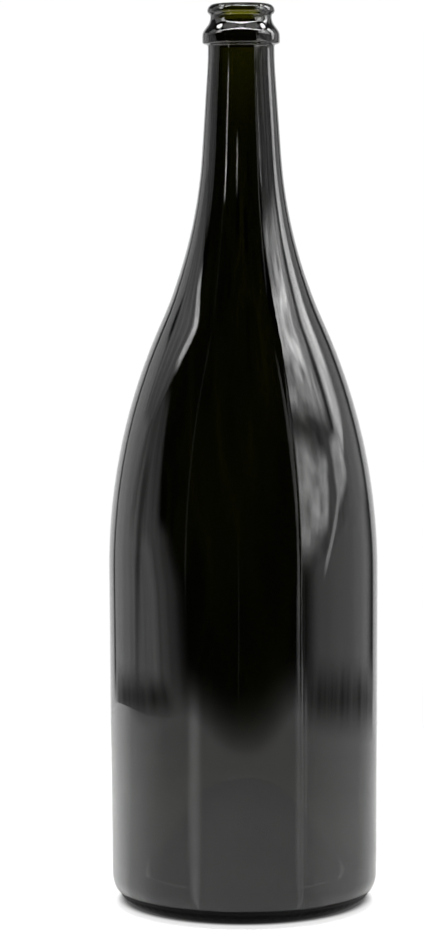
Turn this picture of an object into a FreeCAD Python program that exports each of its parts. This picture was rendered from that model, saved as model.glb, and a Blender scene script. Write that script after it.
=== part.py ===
import FreeCAD, Part
import math
import os

# A magnum bottle for sparkling wine, blown as one piece of glass and open at the mouth.
# The glass is one half section turned round the Z axis. The section lies in the XZ plane, with the radius
# along +X and the height along +Z, and z = 0 is the surface that the bottle stands on. All sizes are in mm.

# Body and heel
BODY_DIAMETER = 112.7          # widest, where the shoulder begins
BODY_DRAFT = 0.4               # radius that the body loses between the shoulder and the floor
SHOULDER_HEIGHT = 141.2        # floor to the end of the straight body
HEEL_RADIUS = 12.8             # round between the body and the bearing ring

# Shoulder and neck: an ogee of two tangent arcs that runs out into a slim cone and a straight collar
SHOULDER_RADIUS = 249.0        # outward arc, tangent to the body
NECK_SWEEP_RADIUS = 200.5      # inward arc, tangent to the shoulder arc and to the neck
NECK_HALF_ANGLE = 3.9          # degrees between the neck's side and the axis
NECK_LENGTH = 39.2             # conical stretch of the neck
COLLAR_LENGTH = 6.1            # straight stretch under the ring
COLLAR_BLEND_RADIUS = 120.0    # soft bend between the neck and the collar

# Inside
BORE_DIAMETER = 17.5           # seat of the cork
BORE_LENGTH = 24.0             # mouth to the foot of that straight seat
COLLAR_WALL = 5.05             # glass round the bore, below the ring
WALL = 6.6                     # body, shoulder and neck
FLOOR = 12.0                   # glass under the lowest point of the inside

# Finish: the ring that a wire cage or a stopper's claws hook under, and the bead of a crown cap
RING_OVERHANG = 2.25           # how far the ring stands out from the collar
RING_LAND = 4.4                # height of the ring's outer face, before its edges are rounded
RING_SLOPE = 36.0              # degrees between the ring's sloping top and the axis
RING_TOP_ROUND = 4.6
RING_EDGE_ROUND = 0.9
RING_UNDER_DROP = 0.8          # fall of the ring's underside towards the collar
COLLAR_FILLET = 0.8            # inside corner under the ring
GROOVE_DEPTH = 1.3             # how far the groove lies inside the bead
GROOVE_HEIGHT = 2.4            # upright wall of the groove
GROOVE_ROUND = 1.2             # inside corner under the bead
RING_COVE_ROUND = 2.5          # inside corner above the ring
BEAD_HEIGHT = 3.5              # mouth to the bead's lower corner
BEAD_EDGE_ROUND = 1.3
LIP_WIDTH = 5.2                # glass between the bore and the bead's outside
LIP_ROUND = 2.9                # outer edge of the mouth
LIP_INNER_ROUND = 1.6          # inner edge of the mouth
LIP_ROUND_SHARE = 0.6          # most of the lip's width that its outer round may take
LIP_INNER_SHARE = 0.35         # most of the lip's width that its inner round may take

# Base: a bearing ring round a deep punt, which is a cone with a domed top
BEARING_WIDTH = 6.0            # heel round to the corner of the punt
PUNT_LIP_ROUND = 3.0
PUNT_DEPTH = 43.0
PUNT_DOME_RADIUS = 18.0
PUNT_WALL = 10.0               # glass over the punt


def at(radius, height):
    """A point of the half section."""
    return FreeCAD.Vector(radius, 0, height)


def along(angle):
    """The unit direction at an angle, in radians, up from the radius."""
    return at(math.cos(angle), math.sin(angle))


def tangent_point(point, centre, radius, side):
    """Where the line from a point touches a circle. Side 1 turns left of the way to the centre, -1 right."""
    way = centre - point
    reach = math.sqrt(way.Length ** 2 - radius ** 2)
    bearing = math.atan2(way.z, way.x) + side * math.asin(radius / way.Length)
    return point + along(bearing) * reach


class HalfSection:
    """A closed outline in the XZ plane, drawn from point to point as lines and arcs."""

    SHORTEST = 1e-6

    def __init__(self, start):
        self.start = start
        self.pen = start
        self.edges = []

    def line(self, end):
        """Go straight to a point."""
        if (end - self.pen).Length > self.SHORTEST:
            self.edges.append(Part.LineSegment(self.pen, end).toShape())
        self.pen = end

    def arc(self, centre, end):
        """Go the short way round a centre to a point."""
        first = self.pen - centre
        middle = first + (end - centre)
        middle.normalize()
        self.edges.append(Part.Arc(self.pen, centre + middle * first.Length, end).toShape())
        self.pen = end

    def rounded(self, corners, end):
        """Go through corners, each a point and the radius that rounds it, and on to a point."""
        following = [corner for corner, _ in corners[1:]] + [end]
        for (corner, radius), target in zip(corners, following):
            into = (corner - self.pen).normalize()
            away = (target - corner).normalize()
            half_turn = into.getAngle(away) / 2
            back = radius * math.tan(half_turn)
            inward = (away - into).normalize()
            self.line(corner - into * back)
            self.arc(corner + inward * (radius / math.cos(half_turn)), corner + away * back)
        self.line(end)

    def turned(self):
        """Close the outline and turn it round the Z axis into a solid."""
        self.line(self.start)
        face = Part.Face(Part.Wire(self.edges))
        return face.revolve(FreeCAD.Vector(0, 0, 0), FreeCAD.Vector(0, 0, 1), 360)


# Radii
body_radius = BODY_DIAMETER / 2
foot_radius = body_radius - BODY_DRAFT
inside_radius = body_radius - WALL
bore_radius = BORE_DIAMETER / 2
collar_radius = bore_radius + COLLAR_WALL
ring_radius = collar_radius + RING_OVERHANG
bead_radius = bore_radius + LIP_WIDTH
groove_radius = bead_radius - GROOVE_DEPTH
lip_round = min(LIP_ROUND, LIP_ROUND_SHARE * LIP_WIDTH)
lip_inner_round = min(LIP_INNER_ROUND, LIP_INNER_SHARE * LIP_WIDTH)

# Ogee: the angle at which the two arcs meet follows from how much radius they have to lose
lean = math.radians(NECK_HALF_ANGLE)
neck_foot_radius = collar_radius + NECK_LENGTH * math.tan(lean)
arc_sum = SHOULDER_RADIUS + NECK_SWEEP_RADIUS
swing = math.acos(
    (SHOULDER_RADIUS + NECK_SWEEP_RADIUS * math.cos(lean) - body_radius + neck_foot_radius) / arc_sum
)
shoulder_centre = at(body_radius - SHOULDER_RADIUS, SHOULDER_HEIGHT)
sweep_centre = shoulder_centre + along(swing) * arc_sum
neck_foot = sweep_centre - along(lean) * NECK_SWEEP_RADIUS
inflection = shoulder_centre + along(swing) * SHOULDER_RADIUS
inner_inflection = shoulder_centre + along(swing) * (SHOULDER_RADIUS - WALL)

# Heights, from the neck up to the mouth
collar_foot = neck_foot.z + NECK_LENGTH
collar_top = collar_foot + COLLAR_LENGTH
ring_under = collar_top + RING_UNDER_DROP
ring_top = ring_under + RING_LAND
groove_foot = ring_top + (ring_radius - groove_radius) / math.tan(math.radians(RING_SLOPE))
groove_top = groove_foot + GROOVE_HEIGHT
bead_foot = groove_top + GROOVE_DEPTH
mouth = bead_foot + BEAD_HEIGHT

# Inner neck: straight from the foot of the bore to where it touches the inner sweep
bore_foot = at(bore_radius, mouth - BORE_LENGTH)
inner_neck_foot = tangent_point(bore_foot, sweep_centre, NECK_SWEEP_RADIUS + WALL, -1)

# Punt: its cone runs from the bearing ring to where it touches the dome
punt_rim = at(foot_radius - HEEL_RADIUS - BEARING_WIDTH, 0)
dome_centre = at(0, PUNT_DEPTH - PUNT_DOME_RADIUS)
dome_foot = tangent_point(punt_rim, dome_centre, PUNT_DOME_RADIUS, -1)
punt_normal = (dome_foot - dome_centre).normalize()
inner_dome_radius = PUNT_DOME_RADIUS + PUNT_WALL
inner_dome_foot = dome_centre + punt_normal * inner_dome_radius

# Trough: the arc inside the heel that touches the floor level, the inner wall and the cone over the punt
cone_offset = punt_normal.dot(inner_dome_foot)
trough_room = punt_normal.x * inside_radius + punt_normal.z * FLOOR - cone_offset
trough_radius = trough_room / (1 + punt_normal.x - punt_normal.z)
trough_centre = at(inside_radius - trough_radius, FLOOR + trough_radius)


def glass():
    """The bottle: inside from the punt up to the mouth, then outside from the mouth down to the punt."""
    section = HalfSection(at(0, dome_centre.z + inner_dome_radius))
    section.arc(dome_centre, inner_dome_foot)
    section.line(trough_centre - punt_normal * trough_radius)
    section.arc(trough_centre, at(inside_radius, trough_centre.z))
    section.line(at(inside_radius, SHOULDER_HEIGHT))
    section.arc(shoulder_centre, inner_inflection)
    section.arc(sweep_centre, inner_neck_foot)
    section.line(bore_foot)
    finish = [
        (at(bore_radius, mouth), lip_inner_round),
        (at(bead_radius, mouth), lip_round),
        (at(bead_radius, bead_foot), BEAD_EDGE_ROUND),
        (at(groove_radius, groove_top), GROOVE_ROUND),
        (at(groove_radius, groove_foot), RING_COVE_ROUND),
        (at(ring_radius, ring_top), RING_TOP_ROUND),
        (at(ring_radius, ring_under), RING_EDGE_ROUND),
        (at(collar_radius, collar_top), COLLAR_FILLET),
        (at(collar_radius, collar_foot), COLLAR_BLEND_RADIUS),
    ]
    section.rounded(finish, neck_foot)
    section.arc(sweep_centre, inflection)
    section.arc(shoulder_centre, at(body_radius, SHOULDER_HEIGHT))
    base = [
        (at(foot_radius, 0), HEEL_RADIUS),
        (punt_rim, PUNT_LIP_ROUND),
    ]
    section.rounded(base, dome_foot)
    section.arc(dome_centre, at(0, PUNT_DEPTH))
    return section.turned()


os.makedirs("parts", exist_ok=True)
bottle = glass()
bottle.exportStep("parts/glass_bottle.step")
print("height", round(mouth, 2), "glass", round(bottle.Volume / 1000, 1), "cm3, valid", bottle.isValid())
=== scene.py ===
"""A bare magnum of dark green bottle glass, open and empty, on a pale studio floor.

The glass is turned on a finer grid than the CAD solid that it stands for, with what moulding leaves on it:
a parting seam up each side, slow waves in the wall, a parting line round the heel and knurls below it. Sizes
are in millimetres, as on a drawing, until a mesh is written in metres. Directions round the bottle are
azimuths in degrees: 0 points from the axis to the camera, and 90 to +X.
"""

import logging
import math
from dataclasses import dataclass, field
from enum import Enum
from typing import Any, ClassVar

import bpy
import numpy as np
from mathutils import Euler, Matrix


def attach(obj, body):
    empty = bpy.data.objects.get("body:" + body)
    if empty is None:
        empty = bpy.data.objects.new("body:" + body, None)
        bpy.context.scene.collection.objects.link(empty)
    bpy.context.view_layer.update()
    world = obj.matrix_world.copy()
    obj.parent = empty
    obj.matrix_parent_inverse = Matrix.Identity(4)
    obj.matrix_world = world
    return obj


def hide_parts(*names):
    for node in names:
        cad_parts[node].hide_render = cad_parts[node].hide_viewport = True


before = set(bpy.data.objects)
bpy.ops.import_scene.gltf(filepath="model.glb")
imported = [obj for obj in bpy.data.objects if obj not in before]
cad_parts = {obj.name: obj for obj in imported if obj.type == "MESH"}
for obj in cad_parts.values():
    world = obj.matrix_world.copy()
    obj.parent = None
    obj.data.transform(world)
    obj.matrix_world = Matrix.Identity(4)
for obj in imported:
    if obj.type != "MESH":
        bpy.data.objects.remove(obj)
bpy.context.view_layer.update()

logging.basicConfig(level=logging.INFO, format="%(name)s: %(message)s")
LOG = logging.getLogger("bottle")

MM = 0.001                                # metres in a millimetre
BODY = "root"                             # the part's only rigid body
CAD_NODE = "glass_bottle"
WHITE = "ffffff"
IMAGE_HEIGHT_PX = 932                     # long side of the photograph's frame

Socket = bpy.types.NodeSocket
Pair = tuple[float, float]
Triple = tuple[float, float, float]


def linear(code: str) -> tuple[float, float, float, float]:
    """Turn an sRGB hex colour into linear RGBA.

    Args:
        code: Six hex digits, such as "f4f2ee".

    Returns:
        Linear red, green, blue and an alpha of 1.
    """
    srgb = np.array([int(code[i:i + 2], 16) for i in (0, 2, 4)]) / 255
    rgb = np.where(srgb <= 0.04045, srgb / 12.92, ((srgb + 0.055) / 1.055) ** 2.4)
    return (*rgb.tolist(), 1.0)


def add_node(
        tree: bpy.types.NodeTree, kind: str, inputs: dict[Any, Any] | None = None, **settings: Any
) -> bpy.types.Node:
    """Add a node, set its properties, and fill or link its inputs.

    Args:
        tree: The material's or world's node tree.
        kind: The node's type, such as "ShaderNodeMath".
        inputs: Socket name or number to a value, or to the output socket that feeds it.
        **settings: Properties of the node itself.

    Returns:
        The new node.
    """
    node = tree.nodes.new(kind)
    for name, value in settings.items():
        setattr(node, name, value)
    for key, value in (inputs or {}).items():
        if isinstance(value, Socket):
            tree.links.new(value, node.inputs[key])
        else:
            node.inputs[key].default_value = value
    return node


def empty_material(name: str) -> bpy.types.Material:
    """Make a material whose node tree has no nodes yet."""
    material = bpy.data.materials.new(name)
    material.use_nodes = True
    material.node_tree.nodes.clear()
    return material


def combine(tree: bpy.types.NodeTree, operation: str, *values: Socket | float) -> Socket:
    """Add a Math node that works on sockets or numbers, and return its result."""
    return add_node(tree, "ShaderNodeMath", dict(enumerate(values)), operation=operation).outputs[0]


def combine_points(tree: bpy.types.NodeTree, operation: str, *values: Any) -> bpy.types.Node:
    """Add a Vector Math node that works on sockets or points, with the outputs Vector and Value."""
    return add_node(tree, "ShaderNodeVectorMath", dict(enumerate(values)), operation=operation)


def ramp(tree: bpy.types.NodeTree, value: Socket, span: Pair, levels: Pair, smooth: bool = False) -> Socket:
    """Add a Map Range node, which takes a span of a value to levels and holds it at their ends.

    Args:
        tree: The material's or world's node tree.
        value: What is mapped.
        span: The first and the last value of the span.
        levels: What those two become.
        smooth: Whether the way between them is a smooth step, and not straight.

    Returns:
        The mapped value.
    """
    return add_node(tree, "ShaderNodeMapRange", {
        "Value": value, "From Min": span[0], "From Max": span[1], "To Min": levels[0], "To Max": levels[1]
    }, interpolation_type="SMOOTHSTEP" if smooth else "LINEAR").outputs["Result"]


def white_light(tree: bpy.types.NodeTree, strength: Socket | float) -> Socket:
    """Add a white Emission node of a strength, and return its shader."""
    return add_node(tree, "ShaderNodeEmission", {"Color": linear(WHITE), "Strength": strength}).outputs[0]


def direction(azimuth: np.ndarray, elevation: np.ndarray) -> np.ndarray:
    """Unit vectors at an azimuth and an elevation, both in degrees: (sin a cos e, -cos a cos e, sin e)."""
    a, e = np.radians(azimuth), np.radians(elevation)
    return np.stack([np.sin(a) * np.cos(e), -np.cos(a) * np.cos(e), np.sin(e)], axis=-1)


def grid_faces(rows: int, columns: int, closed: bool) -> np.ndarray:
    """Corner numbers of the quads of a grid whose points are numbered along its rows.

    Args:
        rows: Number of rows.
        columns: Number of points in a row.
        closed: Whether each row's last point joins its first.

    Returns:
        An array of four corners per quad.
    """
    last = columns if closed else columns - 1
    i, j = np.meshgrid(np.arange(rows - 1), np.arange(last), indexing="ij")
    k = (j + 1) % columns
    here, above = i * columns, (i + 1) * columns
    return np.stack([here + j, here + k, above + k, above + j], axis=-1).reshape(-1, 4)


def mesh_object(
        name: str, points: np.ndarray, faces: list[list[int]], material: bpy.types.Material
) -> bpy.types.Object:
    """Make a smooth-shaded object at the origin from points in metres.

    Args:
        name: The object's name.
        points: One row of x, y and z per point.
        faces: Corner numbers of each face.
        material: What it is made of.

    Returns:
        The object, linked to the scene.
    """
    mesh = bpy.data.meshes.new(name)
    mesh.from_pydata(points.tolist(), [], faces)
    mesh.polygons.foreach_set("use_smooth", np.ones(len(mesh.polygons), dtype=bool))
    mesh.materials.append(material)
    mesh.update()
    obj = bpy.data.objects.new(name, mesh)
    bpy.context.scene.collection.objects.link(obj)
    return obj


class Side(Enum):
    """Which face of the glass a stretch of the half section belongs to."""

    INSIDE = 0.0
    OUTSIDE = 1.0


@dataclass
class HalfSection:
    """A half section drawn from point to point, kept as rows of radius, height and side."""

    pen: np.ndarray
    side: Side = Side.INSIDE
    rows: list[np.ndarray] = field(default_factory=list)
    shortest: ClassVar[float] = 1e-6      # a line under this length in mm is left out
    least_steps: ClassVar[int] = 4        # in an arc, and in the length of a corner's radius

    def __post_init__(self) -> None:
        """Start with the pen's first point."""
        self._keep(self.pen[None, :])

    def _keep(self, points: np.ndarray) -> None:
        """Add points with the side that is being drawn, and move the pen to the last."""
        self.rows.append(np.column_stack([points, np.full(len(points), self.side.value)]))
        self.pen = points[-1]

    def line(self, end: np.ndarray, step: float) -> None:
        """Go straight to a point: p + t (q - p), with t in equal steps of about the given length."""
        length = np.linalg.norm(end - self.pen)
        if length > self.shortest:
            t = np.linspace(0, 1, math.ceil(length / step) + 1)[1:, None]
            self._keep(self.pen + t * (end - self.pen))

    def arc(self, centre: np.ndarray, end: np.ndarray, step: float) -> None:
        """Go the short way round a centre to a point: c + r (cos a, sin a), with the angle in equal steps.

        Args:
            centre: The arc's centre.
            end: Where it ends.
            step: About how long each step is.
        """
        first, last = self.pen - centre, end - centre
        radius = np.linalg.norm(first)
        start = math.atan2(first[1], first[0])
        turn = math.atan2(first[0] * last[1] - first[1] * last[0], first @ last)
        count = max(self.least_steps, math.ceil(abs(turn) * radius / step))
        angle = start + turn * np.linspace(0, 1, count + 1)[1:]
        self._keep(centre + radius * np.column_stack([np.cos(angle), np.sin(angle)]))

    def rounded(self, corners: list[tuple[np.ndarray, float]], end: np.ndarray, step: float) -> None:
        """Go through corners, each a point and the radius that rounds it, and on to a point.

        Args:
            corners: The corners in order.
            end: Where the last straight run ends.
            step: About how long each step is.
        """
        targets = [corner for corner, _ in corners[1:]] + [end]
        for (corner, radius), target in zip(corners, targets):
            into = (corner - self.pen) / np.linalg.norm(corner - self.pen)
            away = (target - corner) / np.linalg.norm(target - corner)
            half_turn = math.acos(np.clip(into @ away, -1, 1)) / 2
            back = radius * math.tan(half_turn)
            inward = (away - into) / np.linalg.norm(away - into)
            centre = corner + inward * radius / math.cos(half_turn)
            self.line(corner - into * back, step)
            self.arc(centre, corner + away * back, min(step, radius / self.least_steps))
        self.line(end, step)

    def table(self) -> np.ndarray:
        """All rows as one array of radius, height and side."""
        return np.concatenate(self.rows)


def at(radius: float, height: float) -> np.ndarray:
    """A point of the half section."""
    return np.array([radius, height], dtype=float)


def along(angle: float) -> np.ndarray:
    """The unit direction at an angle, in radians, up from the radius."""
    return np.array([math.cos(angle), math.sin(angle)])


def tangent_point(point: np.ndarray, centre: np.ndarray, radius: float) -> np.ndarray:
    """Where the line from a point touches a circle, passing it on the right of the way to its centre."""
    way = centre - point
    distance = np.linalg.norm(way)
    bearing = math.atan2(way[1], way[0]) - math.asin(radius / distance)
    return point + along(bearing) * math.sqrt(distance ** 2 - radius ** 2)


@dataclass(frozen=True)
class Ripple:
    """One sine over azimuth and height."""

    turns: int                            # waves round the bottle
    run_mm: float                         # height over which it advances by a radian
    phase: float = 0.0
    share: float = 1.0

    def over(self, azimuth: np.ndarray, height: np.ndarray) -> np.ndarray:
        """The sine itself: share sin(turns a + z / run + phase).

        Args:
            azimuth: Azimuths in radians, as a row.
            height: Heights in mm, as a column.

        Returns:
            Its value for each height and azimuth.
        """
        return self.share * np.sin(self.turns * azimuth + height / self.run_mm + self.phase)


@dataclass(frozen=True)
class BottleGlass:
    """Bottle glass, blown in an iron mould: a fire-polished skin over glass that drinks most light.

    To the eye it is black with sharp reflections, olive in the neck and amber at the thin lip. Light that
    crosses a length s of it keeps exp(-s density (1 - tint)) of each colour.
    """

    name: str = "dark_green_bottle_glass"
    ior: float = 1.52
    tint: str = "e9e900"                  # light that the glass lets through, before its depth is counted
    absorption_per_mm: float = 2.6        # for the colour that the tint lacks
    polish: Pair = (0.0, 0.012)           # roughness of the clean skin and of its duller patches
    patch_mm: float = 60.0                # width of a duller patch
    patch_levels: Pair = (0.4, 0.75)      # of the noise, from clean to dull
    patch_detail: float = 3.0
    peel_mm: float = 9.0                  # width of the slight dimples that the mould leaves
    peel_depth_mm: float = 0.002

    def build(self) -> bpy.types.Material:
        """Make the material: a refracting skin on Object coordinates, and absorption inside it.

        Returns:
            The new material.
        """
        material = empty_material(self.name)
        tree = material.node_tree
        place = add_node(tree, "ShaderNodeTexCoord").outputs["Object"]
        patches = add_node(tree, "ShaderNodeTexNoise", {
            "Vector": place, "Scale": 1 / (self.patch_mm * MM), "Detail": self.patch_detail})
        dullness = ramp(tree, patches.outputs["Fac"], self.patch_levels, self.polish)
        peel = add_node(tree, "ShaderNodeTexNoise", {
            "Vector": place, "Scale": 1 / (self.peel_mm * MM), "Detail": 0.0})
        skin = add_node(tree, "ShaderNodeBump", {
            "Height": peel.outputs["Fac"], "Strength": 1.0, "Distance": self.peel_depth_mm * MM})
        glass = add_node(tree, "ShaderNodeBsdfPrincipled", {
            "Base Color": linear(WHITE), "Transmission Weight": 1.0, "IOR": self.ior,
            "Roughness": dullness, "Normal": skin.outputs["Normal"]})
        depth = add_node(tree, "ShaderNodeVolumeAbsorption", {
            "Color": linear(self.tint), "Density": self.absorption_per_mm / MM})
        add_node(tree, "ShaderNodeOutputMaterial", {
            "Surface": glass.outputs["BSDF"], "Volume": depth.outputs["Volume"]})
        return material


@dataclass
class Magnum:
    """The bottle: one piece of glass, turned from a half section. Sizes are in mm and angles in degrees."""

    # body and heel
    body_diameter: float = 112.7
    body_draft: float = 0.4
    shoulder_height: float = 141.2
    heel_radius: float = 12.8
    # ogee and neck
    shoulder_radius: float = 249.0
    neck_sweep_radius: float = 200.5
    neck_half_angle: float = 3.9
    neck_length: float = 39.2
    collar_length: float = 6.1
    collar_blend: float = 120.0
    fine_collar_share: float = 0.25       # of the collar, next to the ring
    # inside
    bore_diameter: float = 17.5
    bore_length: float = 24.0
    collar_wall: float = 5.05
    wall: float = 6.6
    floor: float = 12.0
    # finish
    ring_overhang: float = 2.25
    ring_land: float = 4.4
    ring_slope: float = 36.0
    ring_top_round: float = 4.6
    ring_edge_round: float = 0.9
    ring_under_drop: float = 0.8
    collar_fillet: float = 0.8
    groove_depth: float = 1.3
    groove_height: float = 2.4
    groove_round: float = 1.2
    cove_round: float = 5.6               # a little fuller than the solid's, as glass runs in a mould
    bead_height: float = 3.5
    bead_edge_round: float = 1.3
    lip_width: float = 5.2
    lip_round: float = 2.9
    lip_inner_round: float = 1.6
    # base
    bearing_width: float = 6.0
    punt_lip_round: float = 3.0
    punt_depth: float = 43.0
    punt_dome_radius: float = 18.0
    punt_wall: float = 10.0
    # what the mould leaves on the outside
    moulded_share: float = 0.5            # of the body's radius: narrower glass is plain
    bearing_level: float = 0.01           # the bearing ring stays flat up to this height
    seam_azimuths: tuple[float, ...] = (25.0, -155.0)
    seam_height: float = 0.05
    seam_width: float = 0.7
    seam_columns: int = 9                 # columns of the grid on and beside each seam
    seam_reach: float = 3.0               # seam widths to each side over which they are spread
    wave_height: float = 0.02
    waves: tuple[Ripple, ...] = (Ripple(3, 31.0, 0.4), Ripple(5, -17.0, 1.9), Ripple(9, 12.0, 2.7, 0.6))
    knurls: int = 72                      # five columns of the grid each
    knurl_height: float = 0.3
    knurl_zone: Pair = (2.8, 4.6)
    heel_line_height: float = 7.4         # where the mould's base plate meets its halves
    heel_line_rise: float = 0.10
    heel_line_width: float = 0.5
    heel_tuck: Pair = (5.0, 0.6)          # most at this height, and by how much
    # what blowing leaves on the inside
    unevenness: float = 0.45
    streaks: tuple[Ripple, ...] = (Ripple(7, 26.0), Ripple(12, -19.0, 1.1))
    beat: tuple[Ripple, Ripple] = (Ripple(19, 33.0, 2.3), Ripple(3, 15.0, math.pi / 2))
    thicker_below: Triple = (120.0, 160.0, 0.9)  # heights where it is full and where it ends, and how much
    blown_zone: Pair = (60.0, 330.0)
    blown_fade: float = 40.0              # over which the unevenness comes in at both ends of that zone
    # grid: columns round the bottle, and about how long each step along the section is
    columns: int = 360
    fine_step: float = 0.5                # heel and the punt's lip
    fine_cone_share: float = 0.1          # of the punt's cone, next to its lip
    finish_step: float = 1.0              # bead, groove and ring
    coarse_step: float = 4.5              # the rest
    inner_step: float = 9.0               # inside of the shoulder and the neck
    cone_step: float = 13.5               # inside of the cone over the punt
    wall_step: float = 27.0               # inside of the straight wall

    def section(self) -> np.ndarray:
        """Draw the half section: inside from the punt up to the mouth, then outside down to the punt.

        The ogee's two arcs meet at the angle whose cosine is (R1 + R2 cos n - body + neck) / (R1 + R2).
        The trough inside the heel is the arc that touches the floor's level, the wall and the cone over
        the punt.

        Returns:
            Rows of radius, height and side.
        """
        body = self.body_diameter / 2
        foot = body - self.body_draft
        inside = body - self.wall
        bore = self.bore_diameter / 2
        collar = bore + self.collar_wall
        ring = collar + self.ring_overhang
        bead = bore + self.lip_width
        groove = bead - self.groove_depth
        lean = math.radians(self.neck_half_angle)
        sweep = self.neck_sweep_radius
        reach = self.shoulder_radius + sweep
        neck_foot_radius = collar + self.neck_length * math.tan(lean)
        swing = math.acos((self.shoulder_radius + sweep * math.cos(lean) - body + neck_foot_radius) / reach)
        shoulder_centre = at(body - self.shoulder_radius, self.shoulder_height)
        sweep_centre = shoulder_centre + along(swing) * reach
        neck_foot = sweep_centre - along(lean) * sweep
        inflection = shoulder_centre + along(swing) * self.shoulder_radius
        inner_inflection = shoulder_centre + along(swing) * (self.shoulder_radius - self.wall)

        collar_foot = neck_foot[1] + self.neck_length
        collar_top = collar_foot + self.collar_length
        ring_under = collar_top + self.ring_under_drop
        ring_top = ring_under + self.ring_land
        groove_foot = ring_top + (ring - groove) / math.tan(math.radians(self.ring_slope))
        groove_top = groove_foot + self.groove_height
        bead_foot = groove_top + self.groove_depth
        mouth = bead_foot + self.bead_height
        fine_collar_end = at(collar, collar_foot + (1 - self.fine_collar_share) * self.collar_length)

        bore_foot = at(bore, mouth - self.bore_length)
        inner_neck_foot = tangent_point(bore_foot, sweep_centre, sweep + self.wall)
        heel_top = at(foot + self.body_draft * self.heel_radius / self.shoulder_height, self.heel_radius)
        punt_rim = at(foot - self.heel_radius - self.bearing_width, 0)
        dome_centre = at(0, self.punt_depth - self.punt_dome_radius)
        dome_foot = tangent_point(punt_rim, dome_centre, self.punt_dome_radius)
        fine_cone_end = punt_rim + (dome_foot - punt_rim) * self.fine_cone_share
        up_and_out = (dome_foot - dome_centre) / self.punt_dome_radius
        inner_dome = self.punt_dome_radius + self.punt_wall
        inner_dome_foot = dome_centre + up_and_out * inner_dome
        room = up_and_out @ at(inside, self.floor) - up_and_out @ inner_dome_foot
        trough = room / (1 + up_and_out[0] - up_and_out[1])
        trough_centre = at(inside - trough, self.floor + trough)

        coarse = self.coarse_step
        draw = HalfSection(at(0, dome_centre[1] + inner_dome))
        draw.arc(dome_centre, inner_dome_foot, coarse)
        draw.line(trough_centre - up_and_out * trough, self.cone_step)
        draw.arc(trough_centre, at(inside, trough_centre[1]), coarse)
        draw.line(at(inside, self.shoulder_height), self.wall_step)
        draw.arc(shoulder_centre, inner_inflection, self.inner_step)
        draw.arc(sweep_centre, inner_neck_foot, self.inner_step)
        draw.line(bore_foot, self.inner_step)
        draw.side = Side.OUTSIDE
        draw.line(at(bore, mouth - self.bead_height), coarse)
        draw.rounded([
            (at(bore, mouth), self.lip_inner_round),
            (at(bead, mouth), self.lip_round),
            (at(bead, bead_foot), self.bead_edge_round),
            (at(groove, groove_top), self.groove_round),
            (at(groove, groove_foot), self.cove_round),
            (at(ring, ring_top), self.ring_top_round),
            (at(ring, ring_under), self.ring_edge_round),
            (at(collar, collar_top), self.collar_fillet),
        ], fine_collar_end, self.finish_step)
        draw.rounded([(at(collar, collar_foot), self.collar_blend)], neck_foot, coarse)
        draw.arc(sweep_centre, inflection, coarse)
        draw.arc(shoulder_centre, at(body, self.shoulder_height), coarse)
        draw.line(heel_top, coarse)
        draw.rounded([
            (at(foot, 0), self.heel_radius),
            (punt_rim, self.punt_lip_round),
        ], fine_cone_end, self.fine_step)
        draw.line(dome_foot, coarse)
        draw.arc(dome_centre, at(0, self.punt_depth), coarse)
        return draw.table()

    def azimuths(self) -> np.ndarray:
        """Azimuths of the grid's columns in degrees: even all round, with more on and beside each seam."""
        even = np.arange(self.columns) * 360 / self.columns - 180
        seam_degrees = math.degrees(self.seam_width / (self.body_diameter / 2))
        beside = np.linspace(-1.0, 1.0, self.seam_columns) * self.seam_reach * seam_degrees
        extra = np.concatenate([azimuth + beside for azimuth in self.seam_azimuths])
        wrapped = (np.concatenate([even, extra]) + 180) % 360 - 180
        return np.unique(np.round(wrapped, 3))

    def relief(self, radius: np.ndarray, height: np.ndarray, azimuth: np.ndarray) -> np.ndarray:
        """How far the outside stands off its half section, in mm, on a grid of rows and columns.

        Slow waves are a sum of sines over azimuth and height, never above zero. A seam is a Gaussian ridge
        across its distance along the girth, a knurl a half wave round the girth within its zone, and the
        heel's parting line a Gaussian ridge across its height. Below that line the heel tucks in along two
        straight runs.

        Args:
            radius: Radius of each row.
            height: Height of each row.
            azimuth: Azimuth of each column, in degrees.

        Returns:
            The relief for each row and column.
        """
        a = np.radians(azimuth)[None, :]
        z = height[:, None]
        relief = self.wave_height * sum(wave.over(a, z) - wave.share for wave in self.waves)
        for seam in self.seam_azimuths:
            off = radius[:, None] * np.radians((azimuth[None, :] - seam + 180) % 360 - 180)
            relief = relief + self.seam_height * np.exp(-(off / self.seam_width) ** 2)
        low, high = self.knurl_zone
        zone = np.clip((z - low) / (high - low), 0, 1)
        relief = relief + self.knurl_height * np.sin(np.pi * zone) * np.clip(np.cos(self.knurls * a), 0, 1)
        off_line = (z - self.heel_line_height) / self.heel_line_width
        relief = relief + self.heel_line_rise * np.exp(-off_line ** 2)
        deepest, tuck = self.heel_tuck
        return relief - np.interp(z, [0.0, deepest, self.heel_line_height], [0.0, tuck, 0.0])

    def inner_relief(self, height: np.ndarray, azimuth: np.ndarray) -> np.ndarray:
        """How far the inner wall stands into the bottle, in mm, on a grid of rows and columns.

        The blown inside is uneven: a sum of sines that runs down the wall in long streaks, with a beat of
        two sines multiplied, and more glass low down.

        Args:
            height: Height of each row.
            azimuth: Azimuth of each column, in degrees.

        Returns:
            The relief for each row and column.
        """
        a = np.radians(azimuth)[None, :]
        z = height[:, None]
        first, second = self.beat
        uneven = sum(streak.over(a, z) for streak in self.streaks) + first.over(a, z) * second.over(a, z)
        low, high, more = self.thicker_below
        return self.unevenness * uneven + more * np.clip((high - z) / (high - low), 0, 1)

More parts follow.
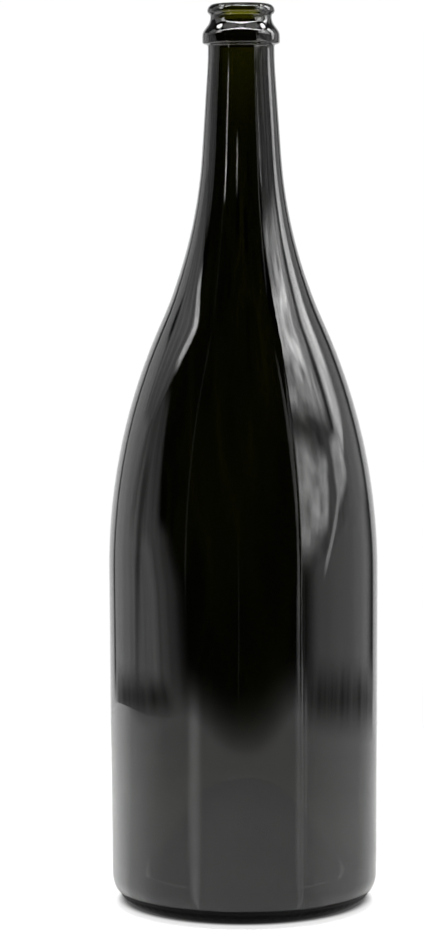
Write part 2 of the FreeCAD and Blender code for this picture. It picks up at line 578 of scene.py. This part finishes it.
    def surface(self) -> np.ndarray:
        """Turn the section: x = r sin a, y = -r cos a, with r and z moved along the normal by the relief.

        The mould's relief ends at the first row on the bearing ring, so the punt stays plain.

        Returns:
            Points in metres for each row and column. The first and the last row lie on the axis.
        """
        table = self.section()
        radius, height, outside = table.T
        azimuth = self.azimuths()
        run = np.gradient(table[:, :2], axis=0)
        normal = np.column_stack([-run[:, 1], run[:, 0]])
        normal /= np.linalg.norm(normal, axis=1, keepdims=True)
        outer_face = outside * (np.arange(len(height)) < np.argmin(height))
        wide = radius > self.moulded_share * self.body_diameter / 2
        moulded = outer_face * wide * (height > self.bearing_level)
        low, high = self.blown_zone
        comes, goes = (height - low) / self.blown_fade, (high - height) / self.blown_fade
        blown = (1 - outside) * np.clip(comes, 0, 1) * np.clip(goes, 0, 1)
        relief = self.relief(radius, height, azimuth) * moulded[:, None]
        relief = relief + self.inner_relief(height, azimuth) * blown[:, None]
        r = (radius[:, None] + relief * normal[:, :1]) * MM
        z = np.maximum(height[:, None] + relief * normal[:, 1:], 0) * MM
        a = np.radians(azimuth)[None, :]
        return np.stack([r * np.sin(a), -r * np.cos(a), z], axis=-1)

    def build(self, finish: BottleGlass) -> bpy.types.Object:
        """Make the bottle as one closed mesh: quads between the rows, and a fan round each pole.

        Args:
            finish: What the bottle is made of.

        Returns:
            The bottle, riding on the part's body in place of its CAD node.
        """
        points = self.surface()
        rows, columns = points.shape[:2]
        poles = np.array([[0, 0, points[0, 0, 2]], [0, 0, points[-1, 0, 2]]])
        rings = points[1:-1].reshape(-1, 3)
        top, bottom = len(rings), len(rings) + 1
        j = np.arange(columns)
        k = (j + 1) % columns
        last = (rows - 3) * columns
        faces = grid_faces(rows - 2, columns, closed=True)[:, ::-1].tolist()
        faces += np.column_stack([np.full(columns, top), j, k]).tolist()
        faces += np.column_stack([np.full(columns, bottom), last + k, last + j]).tolist()
        obj = mesh_object("bottle_glass", np.concatenate([rings, poles]), faces, finish.build())
        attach(obj, BODY)
        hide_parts(CAD_NODE)
        return obj


class Sight(Enum):
    """Heights on the axis, in metres, from which the cards are aimed."""

    FLOOR = 0.0
    BODY = 0.17
    NECK = 0.33
    MOUTH = 0.367


@dataclass(frozen=True)
class LightCard:
    """A lit card round the bottle, out of the camera's sight but not of the glass's.

    Its corners are azimuth and elevation in degrees, seen from a point on the axis: low left, low right,
    high right, high left.
    """

    name: str
    corners: tuple[Pair, Pair, Pair, Pair]
    radiance: Pair                        # at the low and at the high edge
    feather: Pair                         # share of the width and of the height over which each edge fades
    folds: Triple                         # folds across, folds up, and their share of the radiance
    distance: float                       # metres from the point that it is seen from
    seen_from: Sight = Sight.BODY
    cells: ClassVar[int] = 24             # of the card's grid, each way
    fold_levels: ClassVar[Pair] = (0.3, 0.7)  # of the noise, from dark to light folds
    fold_detail: ClassVar[float] = 2.0

    def cover(self, tree: bpy.types.NodeTree, place: bpy.types.Node) -> Socket:
        """How far the card hides what is behind it: the product of a smooth step across each side's feather.

        Args:
            tree: The card's node tree.
            place: The node that gives its place across and up.

        Returns:
            A socket from 0 at the edges to 1.
        """
        cover: Socket | float = 1.0
        for axis, feather in zip("XY", self.feather):
            off = combine(tree, "ABSOLUTE", combine(tree, "SUBTRACT", place.outputs[axis], 0.5))
            fade = ramp(tree, off, (0.5 - feather, 0.5), (1.0, 0.0), smooth=True)
            cover = combine(tree, "MULTIPLY", fade, cover)
        return cover

    def material(self) -> bpy.types.Material:
        """Make a light with soft folds that fades to clear at its edges.

        Returns:
            The new material.
        """
        material = empty_material(self.name)
        tree = material.node_tree
        uv = add_node(tree, "ShaderNodeUVMap").outputs["UV"]
        place = add_node(tree, "ShaderNodeSeparateXYZ", {"Vector": uv})
        cover = self.cover(tree, place)
        across, up, share = self.folds
        spread = combine_points(tree, "MULTIPLY", uv, (across, up, 1.0)).outputs[0]
        cloth = add_node(tree, "ShaderNodeTexNoise", {
            "Vector": spread, "Scale": 1.0, "Detail": self.fold_detail})
        shade = ramp(tree, cloth.outputs["Fac"], self.fold_levels, (1 - share, 1 + share))
        level = ramp(tree, place.outputs["Y"], (0.0, 1.0), self.radiance)
        glow = white_light(tree, combine(tree, "MULTIPLY", shade, level))
        clear = add_node(tree, "ShaderNodeBsdfTransparent")
        mix = add_node(tree, "ShaderNodeMixShader", {0: cover, 1: clear.outputs[0], 2: glow})
        add_node(tree, "ShaderNodeOutputMaterial", {"Surface": mix.outputs[0]})
        return material

    def build(self) -> bpy.types.Object:
        """Make the card: the patch of a sphere whose azimuth and elevation run evenly between the corners.

        Returns:
            The card.
        """
        t = np.linspace(0, 1, self.cells + 1)
        u, v = np.meshgrid(t, t)
        low_left, low_right, high_right, high_left = (np.array(corner) for corner in self.corners)
        u3, v3 = u[..., None], v[..., None]
        low_edge = (1 - u3) * low_left + u3 * low_right
        high_edge = (1 - u3) * high_left + u3 * high_right
        angles = (1 - v3) * low_edge + v3 * high_edge
        points = direction(angles[..., 0], angles[..., 1]) * self.distance
        points[..., 2] += self.seen_from.value
        faces = grid_faces(len(t), len(t), closed=False)
        obj = mesh_object(self.name, points.reshape(-1, 3), faces.tolist(), self.material())
        layer = obj.data.uv_layers.new(name="UVMap")
        layer.data.foreach_set("uv", np.stack([u, v], axis=-1).reshape(-1, 2)[faces.ravel()].ravel())
        obj.visible_camera = False
        obj.visible_diffuse = False
        obj.visible_shadow = False
        return obj


@dataclass(frozen=True)
class PaintedGlint:
    """A painted sheen on the floor: a glow that only rays from the glass see, standing in for a lamp's
    sheen.

    It is a wedge that starts at the glass, at the azimuth where the lamp is mirrored, and runs out at twice
    that azimuth.
    """

    azimuth: float
    half_width: float                     # degrees to each side over which it fades
    level: float


@dataclass
class Studio:
    """The pale floor, the white background, the cards that the glass mirrors, and the lamp overhead."""

    # the sheet on the floor, in metres: a rectangle with round corners, and a rim over which it ends
    sheet_core_centre: Pair = (0.023, -0.002)
    sheet_core_half: Pair = (0.257, 0.175)
    sheet_rim: Pair = (0.25, 0.55)        # out from the core rectangle
    sheet_rim_power: float = 4.0          # how steeply it ends
    sheet_colour: str = "efefee"
    sheet_roughness: float = 1.0
    sheet_specular: float = 0.0
    # where the sheet goes over into white, in metres from a centre
    white_centre: Triple = (-0.05, 0.03, 0.0)
    white_range: Pair = (0.26, 0.46)
    # painted light: the sheet's glow, a share of white that it comes up to over a range in metres, and a
    # painted shadow at the bottle's foot
    painted_shadow_centre: Triple = (0.0, 0.006, 0.0)  # the painted shadow is set behind the axis, as if the light came from the front
    painted_glow_seen: Triple = (0.0500, 0.0550, 0.80)  # from that centre
    painted_glow_mirrored: Triple = (0.0555, 0.0605, 0.70)  # from the axis
    painted_shadow_least: float = 0.07              # level of the painted shadow where the bottle stands
    painted_glow_ebb: Triple = (0.06, 0.13, 0.6)  # from the axis, and the share that stays
    # painted sheens on the floor, which only rays from the glass see
    painted_glints: tuple[PaintedGlint, ...] = (
        PaintedGlint(-21.5, 7.0, 0.9), PaintedGlint(25.0, 7.0, 0.75),
        PaintedGlint(-52.0, 34.0, 0.34), PaintedGlint(-68.0, 24.0, 0.5), PaintedGlint(40.0, 36.0, 0.32))
    painted_glint_start: float = 0.056            # metres from the axis: the face of the glass
    # the room that the glass mirrors
    front_level: float = 0.01             # the dark side
    gap_level: float = 0.08               # behind the walls, beside the backdrop
    gap_range: Pair = (0.3, 0.6)          # Y of the directions over which that level comes up
    backdrop_half_angle: float = 33.0     # degrees of white behind the bottle
    backdrop_softness: float = 0.03       # of its edge, in Y of the directions
    lamp_size: float = 0.9
    lamp_height: float = 1.5
    lamp_watts: float = 21.0
    cards: tuple[LightCard, ...] = (
        LightCard(
            "left_wall", ((-142, -25), (-104, -25), (-100, 24), (-142, 24)), radiance=(0.95, 0.95),
            feather=(0.06, 0.05), folds=(4, 0.5, 0.1), distance=1.30),
        LightCard(
            "left_curtain_low", ((-128, -20), (-32, -20), (-64, 4), (-128, 4)), radiance=(1.15, 0.9),
            feather=(0.48, 0.2), folds=(10, 0.4, 0.3), distance=1.26),
        LightCard(
            "left_curtain", ((-118, -4), (-70, -4), (-84, 25), (-106, 25)), radiance=(0.75, 0.3),
            feather=(0.22, 0.2), folds=(6, 0.6, 0.5), distance=1.25),
        LightCard(
            "left_streak", ((-106, -13), (-95, -13), (-92, 12), (-103, 12)), radiance=(0.3, 0.25),
            feather=(0.5, 0.25), folds=(1, 2, 0.3), distance=1.24),
        LightCard(
            "left_softbox", ((-120, 11), (-103, 13), (-58, 48), (-118, 48)), radiance=(0.5, 1.5),
            feather=(0.16, 0.10), folds=(8, 1, 0.4), distance=1.22),
        LightCard(
            "left_softbox_edge", ((-94, 26), (-86, 26), (-67, 43), (-75, 43)), radiance=(3.0, 11.0),
            feather=(0.35, 0.25), folds=(2, 3, 0.3), distance=1.20),
        LightCard(
            "left_high", ((-122, 43), (-98, 49), (-98, 59), (-122, 51)), radiance=(16.0, 16.0),
            feather=(0.15, 0.15), folds=(4, 3, 0.3), distance=1.20, seen_from=Sight.MOUTH),
        LightCard(
            "left_pole", ((-49.5, -12), (-47.5, -12), (-47.5, 44), (-49.5, 44)), radiance=(0.15, 0.12),
            feather=(0.3, 0.1), folds=(1, 5, 0.6), distance=1.0),
        LightCard(
            "middle_pole", ((-4.6, -15), (-3.4, -15), (-3.4, 3), (-4.6, 3)), radiance=(0.12, 0.04),
            feather=(0.3, 0.2), folds=(1, 5, 0.4), distance=1.0),
        LightCard(
            "right_wall", ((50, -25), (142, -25), (142, 6), (50, 6)), radiance=(0.95, 0.9),
            feather=(0.2, 0.12), folds=(4, 0.5, 0.1), distance=1.30),
        LightCard(
            "right_wall_high", ((96, -2), (142, -2), (142, 40), (112, 40)), radiance=(0.85, 0.75),
            feather=(0.2, 0.1), folds=(4, 0.5, 0.1), distance=1.28),
        LightCard(
            "right_backing", ((50, -9), (102, 0), (102, 34), (50, 34)), radiance=(0.8, 0.4),
            feather=(0.12, 0.1), folds=(5, 3, 0.5), distance=1.26),
        LightCard(
            "right_pole", ((44.0, -14), (51.5, -14), (47.5, 40), (44.5, 40)), radiance=(1.5, 0.35),
            feather=(0.35, 0.1), folds=(1, 7, 0.4), distance=1.25),
        LightCard(
            "right_pole_foot", ((45, -15), (55, -15), (53, -10.5), (45, -10.5)), radiance=(2.2, 1.6),
            feather=(0.3, 0.3), folds=(1, 1, 0.0), distance=1.245),
        LightCard(
            "right_panel_high", ((47, 24), (98, 14), (98, 48), (62, 48)), radiance=(2.4, 8.5),
            feather=(0.14, 0.22), folds=(5, 4, 0.6), distance=1.22),
        LightCard(
            "right_panel_rib", ((64, 36), (86, 25), (88, 32), (66, 44)), radiance=(11.0, 11.0),
            feather=(0.3, 0.4), folds=(3, 2, 0.3), distance=1.205),
        LightCard(
            "right_panel_crease", ((82, 20), (94, 14), (99, 46), (86, 46)), radiance=(3.4, 3.4),
            feather=(0.45, 0.2), folds=(2, 3, 0.4), distance=1.21),
        LightCard(
            "right_panel_far", ((99, 6), (121, 12), (125, 48), (98, 48)), radiance=(3.2, 13.0),
            feather=(0.35, 0.06), folds=(3, 3, 0.35), distance=1.24),
        LightCard(
            "right_panel_low", ((46.5, -9), (77, 0), (86, 14.5), (46.5, 27)), radiance=(3.8, 3.8),
            feather=(0.16, 0.3), folds=(4, 4, 0.5), distance=0.60),
        LightCard(
            "right_panel_end", ((86, 1), (108, 6), (106, 16), (86, 17)), radiance=(3.4, 3.4),
            feather=(0.25, 0.25), folds=(3, 3, 0.3), distance=0.62),
        LightCard(
            "right_panel_seam", ((68, -10.5), (100, 9.5), (100, 13.5), (68, -6.5)), radiance=(3.0, 3.0),
            feather=(0.15, 0.4), folds=(3, 1, 0.0), distance=0.58),
        # painted shade: a dim patch over the right panel, standing in for the shade in a fold
        LightCard(
            "right_panel_painted_shade", ((63, 22), (82, 15.5), (82, 20), (63, 26.5)), radiance=(0.5, 0.5),
            feather=(0.5, 0.5), folds=(3, 1, 0.0), distance=0.57),
        LightCard(
            "hood_left", ((-76, 36), (-38, 54), (-38, 68), (-70, 50)), radiance=(14.0, 21.0),
            feather=(0.06, 0.2), folds=(4, 1, 0.2), distance=1.20, seen_from=Sight.MOUTH),
        LightCard(
            "lip_glow_left", ((-74, 14), (-57, 14), (-62, 40), (-80, 40)), radiance=(8.0, 10.0),
            feather=(0.3, 0.2), folds=(2, 2, 0.3), distance=0.075, seen_from=Sight.MOUTH),
        LightCard(
            "hood_mid_left", ((-38, 54), (0, 60), (0, 73.5), (-38, 68)), radiance=(21.0, 21.0),
            feather=(0.02, 0.15), folds=(4, 1, 0.2), distance=1.20, seen_from=Sight.MOUTH),
        LightCard(
            "hood_mid_right", ((0, 60), (46, 54), (46, 67), (0, 73.5)), radiance=(21.0, 21.0),
            feather=(0.02, 0.15), folds=(4, 1, 0.2), distance=1.20, seen_from=Sight.MOUTH),
        LightCard(
            "hood_right", ((46, 54), (82, 36), (74, 50), (46, 67)), radiance=(21.0, 14.0),
            feather=(0.06, 0.2), folds=(4, 1, 0.2), distance=1.20, seen_from=Sight.MOUTH),
        LightCard(
            "lip_glow_right", ((59, 14), (76, 14), (82, 40), (64, 40)), radiance=(8.0, 10.0),
            feather=(0.3, 0.2), folds=(2, 2, 0.3), distance=0.075, seen_from=Sight.MOUTH),
        LightCard(
            "right_high", ((99, 48), (119, 43), (119, 50), (99, 58)), radiance=(15.0, 15.0),
            feather=(0.15, 0.15), folds=(4, 3, 0.3), distance=1.20, seen_from=Sight.MOUTH),
        LightCard(
            "ceiling", ((-180, 72), (180, 72), (180, 89.9), (-180, 89.9)), radiance=(1.6, 1.6),
            feather=(0.002, 0.1), folds=(4, 1, 0.2), distance=1.26, seen_from=Sight.MOUTH),
        LightCard(
            "ceiling_left", ((-140, 55), (-62, 55), (-26, 74), (-140, 74)), radiance=(1.4, 1.6),
            feather=(0.06, 0.1), folds=(4, 1, 0.3), distance=1.28, seen_from=Sight.MOUTH),
        LightCard(
            "ceiling_right", ((62, 55), (140, 55), (140, 74), (26, 74)), radiance=(1.4, 1.6),
            feather=(0.06, 0.1), folds=(4, 1, 0.3), distance=1.28, seen_from=Sight.MOUTH),
        # painted shade: dim strips at the foot of the walls, standing in for the shade where they meet the
        # floor
        LightCard(
            "left_wall_foot_painted_shade", ((-142, -2.6), (-50, 0.0), (-60, 2.8), (-142, 3.2)), radiance=(0.33, 0.3),
            feather=(0.15, 0.5), folds=(9, 0.2, 0.5), distance=0.54, seen_from=Sight.FLOOR),
        LightCard(
            "right_wall_foot_painted_shade", ((48, 1.6), (142, -0.8), (142, 7.0), (52, 8.5)), radiance=(0.35, 0.35),
            feather=(0.06, 0.5), folds=(16, 0.2, 0.5), distance=0.41, seen_from=Sight.FLOOR),
        LightCard(
            "neck_lamp_left", ((-42.5, -15), (-38, -15), (-37.2, 23.3), (-41.7, 23.3)), radiance=(8.0, 5.0),
            feather=(0.35, 0.08), folds=(1, 6, 0.5), distance=0.075, seen_from=Sight.NECK),
        LightCard(
            "neck_lamp_middle", ((-14, -13), (-9, -13), (-9, 3), (-13, 3)), radiance=(6.0, 2.0),
            feather=(0.4, 0.4), folds=(1, 2, 0.3), distance=0.075, seen_from=Sight.NECK),
        LightCard(
            "neck_lamp_right", ((47.5, -13), (51, -13), (48.4, 22), (45.4, 22)), radiance=(4.0, 1.4),
            feather=(0.35, 0.08), folds=(1, 6, 0.5), distance=0.075, seen_from=Sight.NECK),
    )

    @staticmethod
    def ray_kinds(tree: bpy.types.NodeTree) -> tuple[Socket, Socket]:
        """Sockets for the camera's own rays, and for those that glass mirrors or lets through."""
        ray = add_node(tree, "ShaderNodeLightPath").outputs
        mirror = combine(tree, "MAXIMUM", ray["Is Glossy Ray"], ray["Is Transmission Ray"])
        return ray["Is Camera Ray"], mirror

    def sheet_cover(self, tree: bpy.types.NodeTree, place: Socket) -> Socket:
        """How much of the sheet there is: 1, and from its rim outwards a power of the way that is left.

        Args:
            tree: The floor's node tree.
            place: A point of the floor.

        Returns:
            A socket from 0 to 1, by the distance from the core rectangle, |max(|p - centre| - half, 0)|.
        """
        moved = combine_points(tree, "SUBTRACT", place, (*self.sheet_core_centre, 0.0)).outputs[0]
        either_side = combine_points(tree, "ABSOLUTE", moved).outputs[0]
        past = combine_points(tree, "SUBTRACT", either_side, (*self.sheet_core_half, 0.0)).outputs[0]
        outside = combine_points(tree, "MAXIMUM", past, (0.0, 0.0, 0.0)).outputs[0]
        beyond = combine_points(tree, "LENGTH", outside).outputs["Value"]
        return combine(tree, "POWER", ramp(tree, beyond, self.sheet_rim, (1.0, 0.0)), self.sheet_rim_power)

    def painted_sheen(self, tree: bpy.types.NodeTree, place: Socket) -> Socket:
        """The sum of the painted glints at a point of the floor, each by the cosine of the angle off its
        way.

        Args:
            tree: The floor's node tree.
            place: A point of the floor.

        Returns:
            A socket with the strength of the painted sheen.
        """
        painted_sheen_strength: Socket | float = 0.0
        for painted_glint in self.painted_glints:
            start = direction(np.array(painted_glint.azimuth), np.array(0.0)) * self.painted_glint_start
            way = direction(np.array(2 * painted_glint.azimuth), np.array(0.0))
            run = combine_points(tree, "SUBTRACT", place, start.tolist()).outputs[0]
            unit = combine_points(tree, "NORMALIZE", run).outputs[0]
            cosine = combine_points(tree, "DOT_PRODUCT", unit, way.tolist()).outputs["Value"]
            least = math.cos(math.radians(painted_glint.half_width))
            painted_sheen_strength = combine(tree, "ADD", ramp(tree, cosine, (least, 1.0), (0.0, painted_glint.level)), painted_sheen_strength)
        return painted_sheen_strength

    def painted_glow(self, tree: bpy.types.NodeTree, place: Socket, camera: Socket, mirror: Socket) -> Socket:
        """A painted glow on the sheet near the bottle, which falls at the foot of the glass to a painted
        shadow over the lamp's real one.

        Args:
            tree: The floor's node tree.
            place: A point of the floor.
            camera: 1 for the camera's own rays.
            mirror: 1 for rays that the glass mirrors or lets through.

        Returns:
            A socket with the strength of the painted glow.
        """
        away = combine_points(tree, "LENGTH", place).outputs["Value"]
        off_painted_shadow = combine_points(tree, "DISTANCE", place, self.painted_shadow_centre).outputs["Value"]
        painted_glow_sum: Socket | float = 0.0
        for (low, high, level), run, rays in (
                (self.painted_glow_seen, off_painted_shadow, camera), (self.painted_glow_mirrored, away, mirror)):
            onset = ramp(tree, run, (low, high), (self.painted_shadow_least, level), smooth=True)
            painted_glow_sum = combine(tree, "MULTIPLY_ADD", onset, rays, painted_glow_sum)
        low, high, share = self.painted_glow_ebb
        return combine(tree, "MULTIPLY", painted_glow_sum, ramp(tree, away, (low, high), (1.0, share)))

    def sheet_material(self) -> bpy.types.Material:
        """Make the floor's material: a matt sheet that goes over into white away from the bottle, with a
        painted glow and shadow near it and painted sheens that only the glass sees.

        Returns:
            The new material.
        """
        material = empty_material("white_sheet_painted_glow_shadow_sheen")
        tree = material.node_tree
        place = add_node(tree, "ShaderNodeTexCoord").outputs["Object"]
        camera, mirror = self.ray_kinds(tree)
        sheet = add_node(tree, "ShaderNodeBsdfPrincipled", {
            "Base Color": linear(self.sheet_colour), "Roughness": self.sheet_roughness,
            "Specular IOR Level": self.sheet_specular})
        # painted glow near the bottle, low at its foot as a painted shadow
        glow = white_light(tree, self.painted_glow(tree, place, camera, mirror))
        near = add_node(tree, "ShaderNodeAddShader", {0: sheet.outputs[0], 1: glow})
        off = combine_points(tree, "DISTANCE", place, self.white_centre).outputs["Value"]
        far = ramp(tree, off, self.white_range, (0.0, 1.0), smooth=True)
        white = combine(tree, "MULTIPLY", far, combine(tree, "MAXIMUM", camera, mirror))
        plain = add_node(tree, "ShaderNodeMixShader", {
            0: white, 1: near.outputs[0], 2: white_light(tree, 1.0)})
        # painted sheens, which only rays from the glass see
        painted_sheen_strength = combine(tree, "MULTIPLY", self.painted_sheen(tree, place), mirror)
        whole = add_node(tree, "ShaderNodeAddShader", {0: plain.outputs[0], 1: white_light(tree, painted_sheen_strength)})
        clear = add_node(tree, "ShaderNodeBsdfTransparent")
        edge = add_node(tree, "ShaderNodeMixShader", {
            0: self.sheet_cover(tree, place), 1: clear.outputs[0], 2: whole.outputs[0]})
        add_node(tree, "ShaderNodeOutputMaterial", {"Surface": edge.outputs[0]})
        return material

    def build_floor(self) -> bpy.types.Object:
        """Make the floor: one quad out to the end of the sheet's rim.

        Returns:
            The floor.
        """
        reach = np.array(self.sheet_core_half) + self.sheet_rim[1]
        sides = [middle + np.array([-far, far]) for middle, far in zip(self.sheet_core_centre, reach)]
        x, y = np.meshgrid(*sides)
        points = np.column_stack([x.ravel(), y.ravel(), np.zeros(x.size)])
        faces = grid_faces(len(sides[1]), len(sides[0]), closed=False).tolist()
        floor = mesh_object("floor", points, faces, self.sheet_material())
        return floor

    def build_world(self) -> None:
        """Make the background: white to the camera, and to the glass white behind and dark in front."""
        world = bpy.data.worlds.new("white_background")
        bpy.context.scene.world = world
        world.use_nodes = True
        tree = world.node_tree
        tree.nodes.clear()
        view = add_node(tree, "ShaderNodeTexCoord").outputs["Generated"]
        behind = add_node(tree, "ShaderNodeSeparateXYZ", {"Vector": view}).outputs["Y"]
        edge, soft = math.cos(math.radians(self.backdrop_half_angle)), self.backdrop_softness
        gap = ramp(tree, behind, self.gap_range, (0.0, self.gap_level), smooth=True)
        backdrop = ramp(tree, behind, (edge - soft, edge + soft), (0.0, 1.0 - self.gap_level), smooth=True)
        level = combine(tree, "ADD", backdrop, combine(tree, "ADD", gap, self.front_level))
        ray = add_node(tree, "ShaderNodeLightPath")
        strength = combine(tree, "MAXIMUM", level, ray.outputs["Is Camera Ray"])
        sky = add_node(tree, "ShaderNodeBackground", {"Color": linear(WHITE), "Strength": strength})
        add_node(tree, "ShaderNodeOutputWorld", {"Surface": sky.outputs[0]})

    def build_lamp(self) -> bpy.types.Object:
        """Hang one square lamp over the bottle, which lights the floor and the lip."""
        lamp = bpy.data.lights.new("overhead_lamp", "AREA")
        lamp.size = self.lamp_size
        lamp.energy = self.lamp_watts
        obj = bpy.data.objects.new("overhead_lamp", lamp)
        obj.location = (0, 0, self.lamp_height)
        obj.visible_camera = False
        obj.visible_glossy = False
        bpy.context.scene.collection.objects.link(obj)
        return obj

    def build(self) -> None:
        """Build the whole stage and report each piece."""
        LOG.info("floor %s", self.build_floor().name)
        self.build_world()
        LOG.info("lamp %s", self.build_lamp().name)
        for card in self.cards:
            LOG.info("card %s", card.build().name)


@dataclass
class PhotoCamera:
    """The photograph's camera, level with the neck and looking a little down."""

    distance: float = 1.29488             # metres in front of the axis
    height: float = 0.29943
    pitch: float = 5.0756                 # degrees below the horizon
    yaw: float = 0.571                    # degrees to the left of the axis
    roll: float = -0.2863                 # degrees about the line of sight
    focal_px: float = 3105.93             # focal length in pixels of the photograph
    sensor_mm: float = 36.0               # along the image's long side

    def build(self) -> bpy.types.Object:
        """Make the camera and give the scene its view."""
        lens = bpy.data.cameras.new("camera")
        lens.sensor_width = self.sensor_mm
        lens.lens = self.focal_px / IMAGE_HEIGHT_PX * self.sensor_mm
        obj = bpy.data.objects.new("camera", lens)
        aim = Euler((math.radians(90 - self.pitch), 0, math.radians(self.yaw))).to_matrix()
        tilt = Matrix.Rotation(math.radians(self.roll), 3, "Z")
        obj.matrix_world = Matrix.Translation((0, -self.distance, self.height)) @ (aim @ tilt).to_4x4()
        bpy.context.scene.collection.objects.link(obj)
        bpy.context.scene.camera = obj
        return obj


def main() -> None:
    """Build the bottle, its stage and its camera, in that order."""
    bottle = Magnum().build(BottleGlass())
    LOG.info("%s with %d faces", bottle.name, len(bottle.data.polygons))
    Studio().build()
    PhotoCamera().build()
    bpy.context.scene.view_settings.view_transform = "Standard"


if __name__ == "__main__":
    main()
